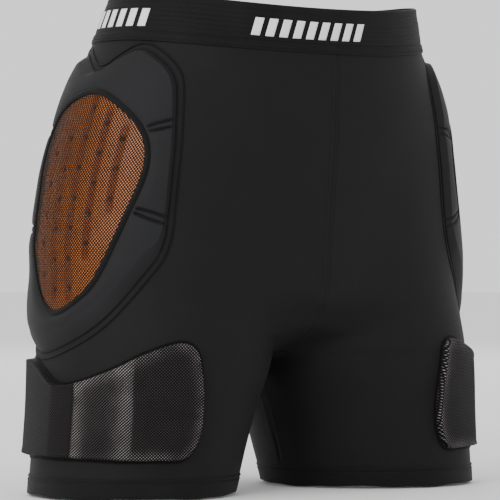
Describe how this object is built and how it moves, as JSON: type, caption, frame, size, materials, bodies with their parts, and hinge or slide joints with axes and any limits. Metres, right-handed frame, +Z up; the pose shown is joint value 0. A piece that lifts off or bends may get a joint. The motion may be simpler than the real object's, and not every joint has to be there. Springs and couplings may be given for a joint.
{
  "type": "padded impact shorts",
  "caption": "Stretch shorts with sewn-in hip, thigh and tail pads, a mesh window over a ribbed core on each hip, and an elastic waistband, in the shape they take when worn.",
  "frame": {"origin": "centre of the waist opening, level with the waistband's top edge at the sides", "axes": "+Z up towards the wearer's chest, -Y the wearer's front, +X the wearer's left"},
  "size_m": [0.4472, 0.2454, 0.424],
  "materials": {
    "band_cloth": "ribbed elastic, matt black",
    "binding_tape": "woven binding, black",
    "window_mesh": "open knitted mesh, black",
    "core": "soft ribbed impact gel, orange, satin",
    "foam": "closed-cell foam, grey, matt",
    "pad_cloth": "brushed stretch knit, charcoal",
    "stretch_cloth": "four-way stretch knit, black",
    "shell_cloth": "four-way stretch knit, black"
  },
  "bodies": {
    "hips": {"waistband": "band_cloth", "tail_pad_cover": "pad_cloth", "tail_pad_foam_upper": "foam", "tail_pad_foam_lower": "foam", "left_front_panel": "shell_cloth", "left_back_panel": "shell_cloth", "left_front_stretch_panel": "stretch_cloth", "left_back_stretch_panel": "stretch_cloth", "left_hip_pad_cover": "pad_cloth", "left_hip_pad_core": "core", "left_hip_pad_window": "window_mesh", "left_hip_pad_window_binding": "binding_tape", "left_hip_pad_foam_front_upper": "foam", "left_hip_pad_foam_front_middle": "foam", "left_hip_pad_foam_front_lower": "foam", "left_hip_pad_foam_back_upper": "foam", "left_hip_pad_foam_back_lower": "foam", "right_front_panel": "shell_cloth", "right_back_panel": "shell_cloth", "right_front_stretch_panel": "stretch_cloth", "right_back_stretch_panel": "stretch_cloth", "right_hip_pad_cover": "pad_cloth", "right_hip_pad_core": "core", "right_hip_pad_window": "window_mesh", "right_hip_pad_window_binding": "binding_tape", "right_hip_pad_foam_front_upper": "foam", "right_hip_pad_foam_front_middle": "foam", "right_hip_pad_foam_front_lower": "foam", "right_hip_pad_foam_back_upper": "foam", "right_hip_pad_foam_back_lower": "foam"},
    "left_leg": {"left_hem_band": "band_cloth", "left_leg_front_panel": "shell_cloth", "left_leg_back_panel": "shell_cloth", "left_thigh_pad_cover": "pad_cloth", "left_thigh_pad_foam_front": "foam", "left_thigh_pad_foam_middle": "foam", "left_thigh_pad_foam_back": "foam"},
    "right_leg": {"right_hem_band": "band_cloth", "right_leg_front_panel": "shell_cloth", "right_leg_back_panel": "shell_cloth", "right_thigh_pad_cover": "pad_cloth", "right_thigh_pad_foam_front": "foam", "right_thigh_pad_foam_middle": "foam", "right_thigh_pad_foam_back": "foam"}
  },
  "joints": [
    {"name": "left_leg_swing", "type": "hinge", "parent": "hips", "child": "left_leg", "pos_m": [0, 0.02, -0.235], "axis": [-1, 0, 0], "range_deg": [-10, 25], "stiffness_Nm_per_rad": 2, "deforming": ["left_front_stretch_panel", "left_back_stretch_panel"]},
    {"name": "right_leg_swing", "type": "hinge", "parent": "hips", "child": "right_leg", "pos_m": [0, 0.02, -0.235], "axis": [-1, 0, 0], "range_deg": [-10, 25], "stiffness_Nm_per_rad": 2, "deforming": ["right_front_stretch_panel", "right_back_stretch_panel"]}
  ]
}
